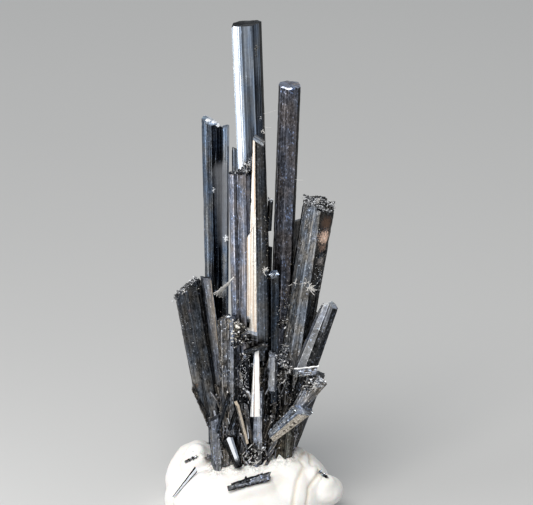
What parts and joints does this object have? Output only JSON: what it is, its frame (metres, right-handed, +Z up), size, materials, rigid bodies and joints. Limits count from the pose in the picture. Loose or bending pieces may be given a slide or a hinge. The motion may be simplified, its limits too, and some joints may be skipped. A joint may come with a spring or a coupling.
{
  "type": "stibnite crystal spray",
  "caption": "Upright spray of slender, ribbed, dark metallic prisms grown from one root and set in a lump of white mounting putty.",
  "frame": {"origin": "middle of the mounting putty's flat underside, on the surface that it stands on", "axes": "+Z up along the spray, +X to the right and +Y to the back as seen from the side with the two bright front faces"},
  "size_m": [0.0167, 0.014, 0.046],
  "materials": {
    "stibnite": "dark lead-grey metallic crystal faces with fine ribs along their length",
    "putty": "warm white mounting putty, matt, with soft pressed folds",
    "loose_stibnite": "near-black broken splinters with ribs",
    "bright_stibnite": "bright metallic cleavage face"
  },
  "bodies": {
    "root": {"crystal_spray": "stibnite", "mounting_putty": "putty", "loose_shard": "loose_stibnite", "loose_blade": "bright_stibnite", "loose_chip_left": "loose_stibnite", "loose_chip_rear": "loose_stibnite", "loose_chip_right": "loose_stibnite"}
  },
  "joints": []
}
